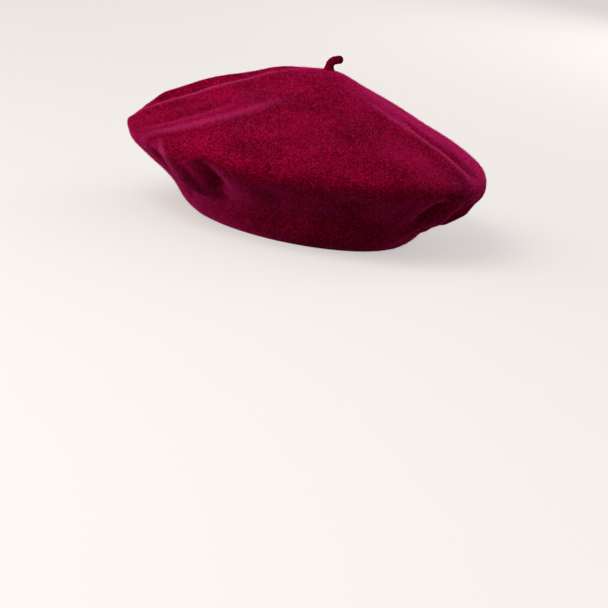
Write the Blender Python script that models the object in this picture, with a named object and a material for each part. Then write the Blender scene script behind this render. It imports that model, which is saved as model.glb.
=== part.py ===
# Soft wool beret: fulled felt body with a turned-in hem, stay tape, sweatband, labels, bow and stalk.
# Metres, +Z up through the crown, hem plane at z = 0, wearer's front toward -Y and left toward +X.
import math

import bmesh
import bpy
import numpy as np

for item in list(bpy.data.objects):
    bpy.data.objects.remove(item, do_unlink=True)

mm = 0.001

# Overall sizes.
rimRadius = 148.4 * mm
crownHeight = 125.0 * mm
rimHeight = 59.2 * mm
hemHalfWidth = 81.4 * mm
hemHalfLength = 99.0 * mm
feltThickness = 2.0 * mm

# Drape of the crown over the head.
leanBearing = 155.0
crownLean = 6.0 * mm

# Hem and the tape inside it.
turnInHeight = 18.0 * mm
stayThickness = 0.6 * mm
stayWidth = 10.0 * mm
touchGap = 0.3 * mm
edgeRound = 0.8 * mm
levelHeight = 9.0 * mm
foldShare = 1.15
threadRadius = 0.3 * mm
hemStitchReach = 2.2 * mm

# Sweatband.
bandHeight = 25.0 * mm
bandThickness = 1.0 * mm
bandLift = 1.0 * mm
bandJoin = 0.8 * mm
backBearing = 90.0
stitchSway = 0.7 * mm
stitchRise = 3.0 * mm
joinHalfWidth = 1.8 * mm
joinMargin = 1.5 * mm
joinSteps = 9

# Bow at the back of the sweatband.
bowHalfLength = 13.0 * mm
bowRibbonWidth = 6.0 * mm
bowLoopDepth = 1.9 * mm
ribbonThickness = 0.45 * mm
bowHeight = 8.0 * mm
bowBack = 2.0 * mm
pinch = 0.3 * mm
knotWidth = 4.5 * mm
knotWall = 0.5 * mm

# Labels.
careBearing = 20.0
careWidth = 15.0 * mm
careLength = 19.0 * mm
careLeaf = 0.3 * mm
leafGap = 0.3 * mm
careDrop = 2.4 * mm
tackRise = 0.7 * mm
tackSway = 0.35 * mm
tackMargin = 1.0 * mm
sizeBearing = 160.0
sizeWidth = 12.0 * mm
sizeLength = 10.0 * mm
sizeThickness = 0.4 * mm
sizeRaise = 1.5 * mm
sizeBorder = 1.0 * mm

# Stalk.
stalkRadius = 3.0 * mm
stalkReach = 7.4 * mm
stalkRise = 9.0 * mm
holeRadius = 2.6 * mm
flangeRadius = 4.6 * mm
flangeThickness = 1.2 * mm
flangeLip = 0.3 * mm
flangeDrop = 1.1 * mm
neckRound = 0.5 * mm
rootStitchIn = 0.9 * mm
rootStitchOut = 1.0 * mm
fineThread = 0.8

# How finely the felt is drawn, and how much it is rounded.
columns = 96
fine = 384
steps = 201
softRounds = 8

hemMean = (hemHalfWidth + hemHalfLength) / 2
hemGap = stayThickness + 2 * touchGap
hemDepth = 2 * feltThickness + hemGap
bandInset = hemDepth + touchGap
bandInner = bandInset + bandThickness

# Half profile. Upper points: share of the rim radius, share of the height from rim to crown.
crownShares = ((0.0, 1.0), (0.077, 0.977), (0.172, 0.912), (0.320, 0.784), (0.489, 0.626),
               (0.664, 0.453), (0.825, 0.301), (0.931, 0.173), (0.987, 0.082), (1.0, 0.0))
# Lower points: share of the way from hem to rim, share of the rim height.
underShares = ((0.942, 0.872), (0.734, 0.701), (0.485, 0.507), (0.314, 0.338),
               (0.200, 0.177), (0.110, 0.082), (0.040, 0.034), (0.0, 0.0))

# Folds as paths down the felt: (share of the profile, bearing, height in mm), then the half width
# in mm toward smaller and toward larger bearings.
folds = (
    # broad lean of the dome
    (((0.0, 335, 0), (0.15, 335, 3.0), (0.32, 335, 1.8), (0.48, 335, 0)), 45, 45),
    (((0.0, 155, 0), (0.18, 155, -3.0), (0.36, 155, -1.5), (0.5, 155, 0)), 45, 45),
    # paired ridges and the valley between them, running to the front-left tip
    (((0.10, 352, 0), (0.22, 351, 2.5), (0.41, 349, 5), (0.52, 347, 5.5), (0.58, 342, 5),
      (0.63, 336, 2.5), (0.67, 333, 0)), 8, 18),
    (((0.12, 337, 0), (0.25, 336, -5), (0.45, 336, -8), (0.54, 337, -7), (0.60, 335, -3),
      (0.64, 334, 0)), 9, 8),
    (((0.05, 315, 0), (0.2, 319, 4), (0.41, 321, 8), (0.52, 325, 7), (0.58, 331, 4),
      (0.63, 334, 0)), 18, 9),
    (((0.25, 401, 0), (0.32, 396, 1.2), (0.45, 387, 2.4), (0.53, 382, 3), (0.60, 375, 3),
      (0.65, 364, 1.5), (0.69, 358, 0)), 10, 12),
    (((0.3, 377, 0), (0.45, 368, -2), (0.55, 363, -2), (0.62, 355, -1.2), (0.66, 350, 0)), 9, 9),
    # puckers under the rim at the front left
    (((0.64, 371, 0), (0.69, 376, 3), (0.75, 376, 6), (0.82, 375, 5), (0.88, 377, 0)), 8, 8),
    (((0.66, 363, 0), (0.72, 361, -6), (0.79, 359, -9), (0.85, 358, -4), (0.9, 358, 0)), 9, 9),
    (((0.64, 393, 0), (0.70, 393, -6), (0.77, 393, -8), (0.83, 391, -3), (0.88, 389, 0)), 11, 12),
    # soft dents under the left rim
    (((0.67, 416, 0), (0.76, 416, -3), (0.86, 416, 0)), 13, 13),
    (((0.66, 442, 0), (0.76, 442, -4.5), (0.88, 442, 0)), 15, 15),
    (((0.66, 461, 0), (0.74, 461, -2), (0.84, 461, 0)), 9, 9),
    (((0.66, 474, 0), (0.73, 473, -5), (0.79, 473, -5), (0.86, 473, 0)), 9, 9),
    # long crease to the back right tip and the pinch under it
    (((0.22, 469, 0), (0.30, 473, 1.5), (0.41, 481, 3.5), (0.50, 485, 5), (0.60, 487, 6),
      (0.66, 486, 6.5), (0.72, 483, 6), (0.80, 485, 6), (0.87, 489, 4), (0.92, 490, 0)), 13, 8),
    (((0.25, 493, 0), (0.41, 497, -3.5), (0.50, 498, -5), (0.60, 497, -5), (0.66, 495, -8),
      (0.73, 493, -11), (0.80, 494, -10), (0.87, 496, -4), (0.92, 497, 0)), 9, 10),
    (((0.74, 477, 0), (0.83, 479, 2.5), (0.90, 471, 2.5), (0.93, 467, 0)), 10, 10),
)

# Slow changes of the rim: bearing, half width in degrees, outward and upward shift in mm.
rimShifts = ((155, 25, -5.7, -1.6), (490, 22, -0.3, -4.1), (335, 25, -2.2, -3.3), (360, 22, -7.1, -0.3),
             (310, 25, 0.4, 2.1))


def ramp(low, high, x):
    t = np.clip((x - low) / (high - low), 0.0, 1.0)
    return t * t * (3 - 2 * t)


def spline(points, count):
    pts = np.array(points, float)
    ext = np.vstack([2 * pts[0] - pts[1], pts, 2 * pts[-1] - pts[-2]])
    out = []
    for i in range(len(pts) - 1):
        a, b, c, d = ext[i:i + 4]
        for k in range(count):
            t = k / count
            out.append(0.5 * (2 * b + (c - a) * t + (2 * a - 5 * b + 4 * c - d) * t * t
                              + (3 * b - a - 3 * c + d) * t ** 3))
    out.append(pts[-1])
    return np.array(out)


def halfProfile():
    upper = [(r * rimRadius, rimHeight + z * (crownHeight - rimHeight)) for r, z in crownShares]
    lower = [(hemMean + r * (rimRadius - hemMean), z * rimHeight) for r, z in underShares]
    curve = spline(upper + lower, 8)
    run = np.r_[0, np.cumsum(np.linalg.norm(np.diff(curve, axis=0), axis=1))]
    even = np.linspace(0, 1, steps)
    return np.stack([np.interp(even, run / run[-1], curve[:, k]) for k in (0, 1)], 1), even, run[-1]


def hemRadius(angle):
    a, b = hemHalfWidth, hemHalfLength
    return a * b / np.sqrt((b * np.cos(angle)) ** 2 + (a * np.sin(angle)) ** 2)


def turnFrom(bearing, centre):
    return (bearing - centre + 180) % 360 - 180


def soften(points):
    # rounds the felt a little, the way thick felt bends; the hem and the crown's centre stay put
    soft = points.copy()
    for _ in range(softRounds):
        soft = (np.roll(soft, 1, 0) + 2 * soft + np.roll(soft, -1, 0)) / 4
        soft[:, 1:-1] = (soft[:, :-2] + 2 * soft[:, 1:-1] + soft[:, 2:]) / 4
    keep = ramp(0.93, 1.0, np.linspace(0, 1, steps))[None, :, None]
    return soft * (1 - keep) + points * keep


def outerSurface():
    # felt outer face on a fine grid, with its outward direction at each point
    curve, share, length = halfProfile()
    tangent = np.gradient(curve, axis=0)
    tangent /= np.linalg.norm(tangent, axis=1)[:, None]
    rimShare = share[np.argmax(curve[:, 0])]
    bearing, s = np.meshgrid(np.arange(fine) * 360.0 / fine, share, indexing='ij')
    angle = np.radians(bearing)
    r = np.broadcast_to(curve[:, 0], s.shape).copy()
    z = np.broadcast_to(curve[:, 1], s.shape).copy()
    outR = np.broadcast_to(-tangent[:, 1], s.shape)
    outZ = np.broadcast_to(tangent[:, 0], s.shape)
    nearRim = np.where(s < rimShare, ramp(0.15, rimShare, s), 1 - ramp(rimShare, 1.0, s))
    for centre, width, out, up in rimShifts:
        weight = np.exp(-(turnFrom(bearing, centre) / width) ** 2) * nearRim
        r += out * mm * weight
        z += up * mm * weight
    r += (hemRadius(angle) - hemMean) * ramp(rimShare, 1.0, s)
    for path, low, high in folds:
        knots = np.array(path, float)
        q = np.interp(s, knots[:, 0], np.arange(len(knots)))
        i = np.clip(q.astype(int), 0, len(knots) - 2)
        t = q - i
        centre = knots[i, 1] + (knots[i + 1, 1] - knots[i, 1]) * t
        height = knots[i, 2] + (knots[i + 1, 2] - knots[i, 2]) * t * t * (3 - 2 * t)
        across = np.radians(turnFrom(bearing, centre)) * np.maximum(r, 25 * mm)
        width = np.where(across < 0, low, high) * mm * (0.45 + 0.55 * np.clip(r / rimRadius, 0, 1))
        lift = height * mm * np.exp(-(across / width) ** 2)
        r = r + lift * outR
        z = z + lift * outZ
    lean = crownLean * (1 - ramp(0.0, 0.55, s))
    x = r * np.cos(angle) + lean * math.cos(math.radians(leanBearing))
    y = r * np.sin(angle) + lean * math.sin(math.radians(leanBearing))
    points = soften(np.stack([x, y, z], -1))
    along = np.gradient(points, axis=1)
    around = np.roll(points, -1, 0) - np.roll(points, 1, 0)
    out = np.cross(along, around)
    for _ in range(6):
        out = (np.roll(out, 1, 0) + 2 * out + np.roll(out, -1, 0)) / 4
    out /= np.maximum(np.linalg.norm(out, axis=-1), 1e-12)[..., None]
    # layers run level into the hem so that its underside is flat
    level = np.stack([np.cos(angle), np.sin(angle), np.zeros_like(angle)], -1)
    mix = ramp(1 - levelHeight / length, 1.0, s)[..., None]
    out = out * (1 - mix) + level * mix
    # and run upright into the hole for the stalk
    mix = 1 - ramp(0.0, 0.05, s)[..., None]
    out = out * (1 - mix) + np.array([0.0, 0.0, 1.0]) * mix
    out /= np.linalg.norm(out, axis=-1)[..., None]
    return points, out, length


feltFace, feltOut, profileLength = outerSurface()
apex = np.array([crownLean * math.cos(math.radians(leanBearing)),
                 crownLean * math.sin(math.radians(leanBearing)), crownHeight])


def feltRow(share, inset, count=columns):
    # ring of points at a share of the profile, a given depth into the felt
    q = share * (steps - 1)
    i = min(int(q), steps - 2)
    t = q - i
    ring = feltFace[:, i] * (1 - t) + feltFace[:, i + 1] * t
    out = feltOut[:, i] * (1 - t) + feltOut[:, i + 1] * t
    ring = ring - inset * out
    pick = np.arange(count) * fine / count
    a = pick.astype(int) % fine
    f = (pick - pick.astype(int))[:, None]
    return ring[a] * (1 - f) + ring[(a + 1) % fine] * f


def fromHem(distance):
    # share of the profile at a distance up the felt from the hem
    return 1 - distance / profileLength


def finishObject(name, bm, colour, rough, smooth=True):
    bmesh.ops.remove_doubles(bm, verts=bm.verts, dist=1e-7)
    bmesh.ops.recalc_face_normals(bm, faces=bm.faces)
    if bm.calc_volume(signed=True) < 0:
        bmesh.ops.reverse_faces(bm, faces=bm.faces)
    mesh = bpy.data.meshes.new(name)
    bm.to_mesh(mesh)
    bm.free()
    for face in mesh.polygons:
        face.use_smooth = smooth
    made = bpy.data.objects.new(name, mesh)
    bpy.context.collection.objects.link(made)
    material = bpy.data.materials.new(name + '_finish')
    material.use_nodes = True
    shader = material.node_tree.nodes['Principled BSDF']
    shader.inputs['Base Color'].default_value = (*colour, 1.0)
    shader.inputs['Roughness'].default_value = rough
    mesh.materials.append(material)
    return made


def sweepRows(rows, closedAround=True):
    # body from rings of points listed in order round its closed section
    bm = bmesh.new()
    grid = [[bm.verts.new(p) for p in row] for row in rows]
    count = len(rows[0])
    for k in range(len(rows)):
        low, high = grid[k], grid[(k + 1) % len(rows)]
        for j in range(count if closedAround else count - 1):
            n = (j + 1) % count
            bm.faces.new((low[j], low[n], high[n], high[j]))
    if not closedAround:
        bm.faces.new([row[0] for row in grid])
        bm.faces.new([row[-1] for row in reversed(grid)])
    return bm


def threadBody(path, radius, closed, sides=4):
    # thread of constant thickness along a path of points
    pts = np.array(path, float)
    count = len(pts)
    bm = bmesh.new()
    rings = []
    side = None
    for k in range(count):
        before = pts[k - 1] if closed or k > 0 else pts[k]
        after = pts[(k + 1) % count] if closed or k < count - 1 else pts[k]
        along = after - before
        along /= np.linalg.norm(along)
        if side is None:
            side = np.cross(along, (0.0, 0.0, 1.0))
            if np.linalg.norm(side) < 0.1:
                side = np.cross(along, (1.0, 0.0, 0.0))
        side = side - along * side.dot(along)
        side /= np.linalg.norm(side)
        other = np.cross(along, side)
        ring = []
        for m in range(sides):
            turn = 2 * math.pi * (m + 0.5) / sides
            ring.append(bm.verts.new(pts[k] + radius * (side * math.cos(turn) + other * math.sin(turn))))
        rings.append(ring)
    for k in range(count if closed else count - 1):
        low, high = rings[k], rings[(k + 1) % count]
        for m in range(sides):
            n = (m + 1) % sides
            bm.faces.new((low[m], low[n], high[n], high[m]))
    if not closed:
        bm.faces.new(rings[0])
        bm.faces.new(rings[-1][::-1])
    return bm


feltRed = (0.25, 0.0009, 0.027)
threadRed = (0.16, 0.001, 0.02)

# Felt body: outer face from the stalk hole to the hem, the turned-in hem, then the inner face back.
holeShare = holeRadius / profileLength
bodyShares = [holeShare, 0.035, 0.09, 0.17, 0.26, 0.35, 0.43, 0.50, 0.56, 0.605, 0.64, 0.675, 0.715,
              0.76, 0.81, 0.86, 0.90]
turnTop = fromHem(turnInHeight)
foldFloor = foldShare * feltThickness
gapFloor = fromHem(foldFloor)
rows = [feltRow(s, 0) for s in bodyShares]
rows += [feltRow(turnTop, 0), feltRow(fromHem(turnInHeight / 2), 0), feltRow(fromHem(edgeRound), 0)]
rows += [feltRow(1.0, edgeRound), feltRow(1.0, hemDepth - edgeRound)]
rows += [feltRow(fromHem(edgeRound), hemDepth), feltRow(fromHem(turnInHeight / 2), hemDepth)]
rows += [feltRow(turnTop, hemDepth), feltRow(turnTop, hemDepth - feltThickness)]
rows += [feltRow(fromHem(turnInHeight / 2), hemDepth - feltThickness)]
rows += [feltRow(gapFloor, hemDepth - feltThickness), feltRow(gapFloor, feltThickness)]
rows += [feltRow(fromHem(turnInHeight / 2), feltThickness), feltRow(turnTop, feltThickness)]
rows += [feltRow(s, feltThickness) for s in reversed(bodyShares)]
finishObject('felt_body', sweepRows(rows), feltRed, 0.95)

# Stay tape lying inside the turned-in hem.
stayLow = fromHem(foldFloor + 2 * touchGap)
stayHigh = fromHem(foldFloor + 2 * touchGap + stayWidth)
stayMid = (stayLow + stayHigh) / 2
stayIn = feltThickness + touchGap + stayThickness
rows = [feltRow(s, feltThickness + touchGap) for s in (stayHigh, stayMid, stayLow)]
rows += [feltRow(s, stayIn) for s in (stayLow, stayMid, stayHigh)]
finishObject('stay_tape', sweepRows(rows), (0.05, 0.002, 0.01), 0.8)

# Zigzag thread that holds the raw edge of the turned-in hem.
stitches = 2 * columns
clear = touchGap + threadRadius
low = feltRow(fromHem(turnInHeight - hemStitchReach / 2), hemDepth + clear + 2 * touchGap, stitches)
over = feltRow(fromHem(turnInHeight + 2 * clear), hemDepth + 1.5 * touchGap, stitches)
high = feltRow(fromHem(turnInHeight + hemStitchReach), feltThickness + clear, stitches)
path = [(low, over, high, over)[k % 4][k] for k in range(stitches)]
finishObject('hem_stitching', threadBody(path, threadRadius, True), threadRed, 0.8)


def hemPoint(bearing, inset, height):
    # point inside the hem oval, a given distance in from its edge
    angle = math.radians(bearing)
    edge = hemRadius(angle) - inset
    return np.array([edge * math.cos(angle), edge * math.sin(angle), height])


# Sweatband: upright strip round the opening with its ends butted at the back.
joinTurn = math.degrees(bandJoin / 2 / (hemHalfLength - bandInset))
bandBearings = [backBearing + joinTurn]
bandBearings += [backBearing + 360.0 * k / columns for k in range(1, columns)]
bandBearings += [backBearing + 360.0 - joinTurn]
bandTop = bandLift + bandHeight


def bandRow(inset, height):
    return [hemPoint(b, inset, height) for b in bandBearings]


rows = [bandRow(bandInset, bandLift), bandRow(bandInset, bandTop),
        bandRow(bandInner, bandTop), bandRow(bandInner, bandLift)]
finishObject('sweatband', sweepRows(rows, False), (0.02, 0.008, 0.006), 0.6)

# Running stitch along the foot of the sweatband.
stitchLine = bandLift + stitchRise
path = []
for k, bearing in enumerate(bandBearings):
    sway = stitchSway if k % 2 else -stitchSway
    path.append(hemPoint(bearing, bandInner + clear, stitchLine + sway))
finishObject('band_stitching', threadBody(path, threadRadius, False), (0.1, 0.004, 0.02), 0.8)


class Spot:
    # a place on the inner face of the sweatband: along, inward and up directions

    def __init__(self, bearing, inset, height):
        self.at = hemPoint(bearing, inset, height)
        step = hemPoint(bearing + 0.5, inset, height) - hemPoint(bearing - 0.5, inset, height)
        self.along = step / np.linalg.norm(step)
        self.up = np.array([0.0, 0.0, 1.0])
        self.inward = np.cross(self.up, self.along)

    def point(self, along, inward, up):
        return self.at + along * self.along + inward * self.inward + up * self.up


def sectionBody(spot, outline, half):
    # closed outline in the inward and up directions, drawn out along the spot
    bm = bmesh.new()
    ends = [[bm.verts.new(spot.point(side * half, a, b)) for a, b in outline] for side in (-1, 1)]
    bm.faces.new(ends[0])
    bm.faces.new(ends[1][::-1])
    count = len(outline)
    for k in range(count):
        n = (k + 1) % count
        bm.faces.new((ends[0][k], ends[1][k], ends[1][n], ends[0][n]))
    return bm


# Cross stitches closing the ends of the sweatband, above the bow.
join = Spot(backBearing, bandInner, 0)
joinLow = bowHeight + bowRibbonWidth / 2 + joinMargin
joinHigh = bandTop - joinMargin
path = []
for k in range(joinSteps):
    side = joinHalfWidth * (1 if k % 2 else -1)
    path.append(join.point(side, clear, joinLow + (joinHigh - joinLow) * k / (joinSteps - 1)))
finishObject('join_stitching', threadBody(path, threadRadius, False), (0.1, 0.004, 0.02), 0.8)

# Flat bow: one ribbon folded into two loops, pinched where the knot goes round it.
bow = Spot(backBearing, bandInner, bowHeight)
bowCentre = bowBack + bowLoopDepth
turns = 48


def bowLine(offset):
    # closed outline of the ribbon seen from above, moved sideways by an offset
    pts = []
    for k in range(turns):
        a = 2 * math.pi * k / turns
        along = bowHalfLength * math.cos(a)
        share = abs(math.cos(a))
        swell = ramp(0.18, 0.75, share) * math.sqrt(max(0.0, 1 - share ** 4))
        half = pinch + float(swell) * bowLoopDepth
        pts.append(np.array([along, half * (1 if math.sin(a) > 0 else -1) * min(1.0, abs(math.sin(a)) * 3)]))
    pts = np.array(pts)
    out = np.roll(pts, -1, 0) - np.roll(pts, 1, 0)
    out = np.stack([out[:, 1], -out[:, 0]], 1)
    out /= np.linalg.norm(out, axis=1)[:, None]
    return pts + out * offset


innerLine = bowLine(0)
outerLine = bowLine(ribbonThickness)
rows = []
for line, up in ((outerLine, -1), (outerLine, 1), (innerLine, 1), (innerLine, -1)):
    rows.append([bow.point(a, bowCentre + b, up * bowRibbonWidth / 2) for a, b in line])
finishObject('bow_ribbon', sweepRows(rows), (0.018, 0.006, 0.006), 0.45)

# Knot: ribbon ring round the middle of the bow.
holeIn = pinch + ribbonThickness + touchGap
holeUp = bowRibbonWidth / 2 + touchGap
rows = []
for grow, side in ((0, -1), (0, 1), (knotWall, 1), (knotWall, -1)):
    ring = []
    for k in range(16):
        a = 2 * math.pi * (k + 0.5) / 16
        c, s = math.cos(a), math.sin(a)
        stretch = 1 / max(abs(c), abs(s))
        ring.append(bow.point(side * knotWidth / 2, bowCentre + c * stretch * (holeIn + grow),
                              s * stretch * (holeUp + grow)))
    rows.append(ring)
finishObject('bow_knot', sweepRows(rows), (0.018, 0.006, 0.006), 0.45, False)

# Care label: a folded ribbon sewn to the band by its upper edge, free to swing.
careTop = bandTop - careDrop
# it hangs clear of the stitches below it, and its flat back clears the curve of the band
careSpace = 2 * threadRadius + 2 * touchGap + careWidth ** 2 / 8 / (hemHalfWidth - bandInner)
care = Spot(careBearing, bandInner, careTop)
careDepth = 2 * careLeaf + leafGap
nose = careDepth / 2
bottom = -(careLength - nose)
outline = [(0, 0), (0, bottom)]
inner = [(careLeaf, bottom), (careLeaf, -careLeaf)]
for k in range(1, 6):
    a = math.pi * k / 6
    outline.append((nose - nose * math.cos(a), bottom - nose * math.sin(a)))
outline += [(careDepth, bottom), (careDepth, 0)]
slot = [(careDepth - careLeaf, 0), (careDepth - careLeaf, bottom)]
for k in range(1, 6):
    a = math.pi * k / 6
    slot.append((nose + (nose - careLeaf) * math.cos(a), bottom - (nose - careLeaf) * math.sin(a)))
slot += [(careLeaf, bottom), (careLeaf, 0)]
carePin = care.point(0, careSpace + nose, 0)
label = finishObject('care_label', sectionBody(
    care, [(careSpace + a, b) for a, b in outline + slot], careWidth / 2), (0.8, 0.78, 0.74), 0.5, False)
label.data.transform(label.matrix_world.Translation([-v for v in carePin]))
label.location = carePin

# Thread bar that holds the upper edge of the care label.
path = []
for k in range(9):
    sway = tackSway * (1 if k % 2 else -1)
    path.append(care.point((k / 8 - 0.5) * (careWidth - 2 * tackMargin), careSpace + threadRadius,
                           clear + tackRise + sway))
finishObject('care_label_tack', threadBody(path, threadRadius, False), (0.7, 0.68, 0.64), 0.8)

# Size tag sewn flat to the band, with a thread line round it.
size = Spot(sizeBearing, bandInner, bandLift + bandHeight / 2 + sizeRaise)
sizeSpace = touchGap + sizeWidth ** 2 / 8 / (hemHalfWidth - bandInner)
tag = [(sizeSpace, -sizeLength / 2), (sizeSpace, sizeLength / 2),
       (sizeSpace + sizeThickness, sizeLength / 2), (sizeSpace + sizeThickness, -sizeLength / 2)]
finishObject('size_tag', sectionBody(size, tag, sizeWidth / 2), (0.8, 0.78, 0.74), 0.5, False)
path = []
halfA, halfB = sizeWidth / 2 - sizeBorder, sizeLength / 2 - sizeBorder
corners = [(-halfA, -halfB), (halfA, -halfB), (halfA, halfB), (-halfA, halfB)]
for k in range(4):
    a, b = corners[k], corners[(k + 1) % 4]
    for m in range(5):
        t = m / 5
        path.append(size.point(a[0] + (b[0] - a[0]) * t, sizeSpace + sizeThickness + clear,
                               a[1] + (b[1] - a[1]) * t))
finishObject('size_tag_stitching', threadBody(path, threadRadius * fineThread, True), (0.7, 0.68, 0.64), 0.8)

# Plug of yarn ends under the crown: neck in the hole, flange below the felt.
insideTop = crownHeight - feltThickness
flangeTop = insideTop - flangeDrop
flangeFoot = flangeTop - flangeThickness
neckRadius = holeRadius - 2 * touchGap
plug = [(0, crownHeight), (neckRadius - neckRound, crownHeight), (neckRadius, crownHeight - neckRound),
        (neckRadius, flangeTop), (flangeRadius, flangeTop),
        (flangeRadius + flangeLip, (flangeTop + flangeFoot) / 2), (flangeRadius, flangeFoot), (0, flangeFoot)]


def turnedBody(outline, sides):
    bm = bmesh.new()
    verts = [bm.verts.new((apex[0] + r, apex[1], z)) for r, z in outline]
    edges = [bm.edges.new((a, b)) for a, b in zip(verts, verts[1:])]
    bmesh.ops.spin(bm, geom=verts + edges, cent=(apex[0], apex[1], 0), axis=(0, 0, 1),
                   angle=2 * math.pi, steps=sides, use_merge=True, use_duplicate=False)
    return bm


finishObject('stalk_root', turnedBody(plug, 24), feltRed, 0.95)

# Tack stitches under the flange.
path = []
for k in range(24):
    a = 2 * math.pi * k / 24
    r = flangeRadius - rootStitchIn if k % 2 else flangeRadius + rootStitchOut
    z = flangeFoot - clear - touchGap if k % 2 else flangeFoot - touchGap / 2
    path.append((apex[0] + r * math.cos(a), apex[1] + r * math.sin(a), z))
finishObject('root_stitching', threadBody(path, threadRadius * fineThread, True), threadRed, 0.8)

# Stalk: round root resting above the plug, then a bent felt stub.
rootCentre = apex + np.array([0, 0, touchGap + stalkRadius])
lean = np.array([math.cos(math.radians(leanBearing)), math.sin(math.radians(leanBearing)), 0.0])
shares = ((0.0, 0.0), (-0.01, 0.22), (0.10, 0.50), (0.38, 0.80), (0.72, 0.95), (1.0, 1.02))
bend = spline(shares, 4)
side = np.cross((0, 0, 1.0), lean)
bm = bmesh.new()
sides = 14
centres = [np.array([u * stalkReach, v * (stalkRise - stalkRadius)]) for u, v in bend]
rings = []


def addRing(centre, along, radius):
    along = along / np.linalg.norm(along)
    out = np.array([along[1], -along[0]])
    ring = []
    for m in range(sides):
        a = 2 * math.pi * m / sides
        flat = centre + out * radius * math.cos(a)
        ring.append(bm.verts.new(flat[0] * lean + np.array([0, 0, flat[1]]) + side * radius * math.sin(a)))
    rings.append(ring)


first = bm.verts.new((0, 0, -stalkRadius))
start, end = centres[0], centres[-1]
tipWay = centres[-1] - centres[-2]
tipWay /= np.linalg.norm(tipWay)
for k in range(1, 4):
    a = math.pi / 2 * k / 4
    addRing(np.array([0, -stalkRadius * math.cos(a)]), np.array([0, 1.0]), stalkRadius * math.sin(a))
for k, centre in enumerate(centres):
    ahead = centres[min(k + 1, len(centres) - 1)] - centres[max(k - 1, 0)]
    waist = 1 - 0.06 * math.sin(math.pi * k / (len(centres) - 1))
    addRing(centre, ahead, stalkRadius * waist)
for k in range(1, 4):
    a = math.pi / 2 * k / 4
    addRing(end + tipWay * stalkRadius * math.sin(a) * 0.85, tipWay, stalkRadius * math.cos(a))
tip = end + tipWay * stalkRadius * 0.85
last = bm.verts.new(tip[0] * lean + np.array([0, 0, tip[1]]))
for low, high in zip(rings, rings[1:]):
    for m in range(sides):
        n = (m + 1) % sides
        bm.faces.new((low[m], low[n], high[n], high[m]))
for m in range(sides):
    n = (m + 1) % sides
    bm.faces.new((first, rings[0][n], rings[0][m]))
    bm.faces.new((last, rings[-1][m], rings[-1][n]))
stalk = finishObject('stalk', bm, feltRed, 0.95)
stalk.location = rootCentre
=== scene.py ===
import math

import bmesh
import bpy
import numpy as np
from mathutils import Matrix, Vector


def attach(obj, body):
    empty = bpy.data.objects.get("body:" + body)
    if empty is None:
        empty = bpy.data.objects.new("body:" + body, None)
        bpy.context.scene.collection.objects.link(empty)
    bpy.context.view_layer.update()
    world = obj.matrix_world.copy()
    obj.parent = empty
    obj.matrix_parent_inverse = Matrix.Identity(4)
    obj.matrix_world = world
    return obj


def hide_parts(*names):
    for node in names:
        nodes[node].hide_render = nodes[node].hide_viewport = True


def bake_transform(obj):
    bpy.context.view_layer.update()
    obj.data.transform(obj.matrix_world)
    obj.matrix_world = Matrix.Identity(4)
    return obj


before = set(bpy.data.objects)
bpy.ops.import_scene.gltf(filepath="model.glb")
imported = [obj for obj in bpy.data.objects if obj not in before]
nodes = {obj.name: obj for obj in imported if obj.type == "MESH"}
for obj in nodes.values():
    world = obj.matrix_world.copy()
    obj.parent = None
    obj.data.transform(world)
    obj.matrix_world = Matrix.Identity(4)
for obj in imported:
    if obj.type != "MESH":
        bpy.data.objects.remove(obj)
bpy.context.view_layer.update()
mm = 0.001
print("frame loaded")


# Small helpers

def smooth(low, high, x):
    t = np.clip((x - low) / (high - low), 0.0, 1.0)
    return t * t * (3 - 2 * t)


def addLinked(name, data):
    # an object for a mesh, a camera or a light, linked to the scene
    made = bpy.data.objects.new(name, data)
    bpy.context.scene.collection.objects.link(made)
    return made


def addObject(name, shape, material):
    # shape is a bmesh, or a mesh already made
    mesh = shape
    if isinstance(shape, bmesh.types.BMesh):
        mesh = bpy.data.meshes.new(name)
        shape.to_mesh(mesh)
        shape.free()
    mesh.name = name
    made = addLinked(name, mesh)
    mesh.materials.append(material)
    mesh.shade_smooth()
    return made


def addModifier(obj, name, kind, **values):
    modifier = obj.modifiers.new(name, kind)
    for key, value in values.items():
        setattr(modifier, key, value)
    return modifier


# Materials and their nodes

def newMaterial(name):
    material = bpy.data.materials.new(name)
    material.use_nodes = True
    tree = material.node_tree
    return material, tree, tree.nodes["Principled BSDF"]


def feed(tree, node, values):
    # each input takes a fixed value, or a link from another node
    for key, value in values.items():
        if isinstance(value, bpy.types.NodeSocket):
            tree.links.new(value, node.inputs[key])
        else:
            node.inputs[key].default_value = value


def addNode(tree, kind, **values):
    node = tree.nodes.new(kind)
    for key, value in values.items():
        if key in node.inputs:
            feed(tree, node, {key: value})
        else:
            setattr(node, key, value)
    return node


def objectPlace(tree):
    return addNode(tree, "ShaderNodeTexCoord").outputs["Object"]


def noiseAt(tree, place, scale, detail=3.0, rough=0.55):
    return addNode(tree, "ShaderNodeTexNoise", Vector=place, Scale=scale, Detail=detail,
                   Roughness=rough).outputs["Fac"]


def rampFrom(tree, value, stops):
    node = addNode(tree, "ShaderNodeValToRGB", Fac=value)
    elements = node.color_ramp.elements
    while len(elements) < len(stops):
        elements.new(0.5)
    for element, (place, colour) in zip(elements, stops):
        element.position = place
        element.color = (*colour, 1.0)
    return node.outputs["Color"]


def shades(colour, stops):
    # ramp stops from pairs: where along the ramp, and how many times the colour
    return [(place, tuple(min(1.0, c * times) for c in colour)) for place, times in stops]


def mathNode(tree, operation, a, b):
    node = addNode(tree, "ShaderNodeMath", operation=operation)
    feed(tree, node, {0: a, 1: b})
    return node.outputs[0]


def weighted(tree, *parts):
    # sum of several values, each times its weight
    scaled = [mathNode(tree, "MULTIPLY", value, weight) for value, weight in parts]
    total = scaled[0]
    for part in scaled[1:]:
        total = mathNode(tree, "ADD", total, part)
    return total


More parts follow.
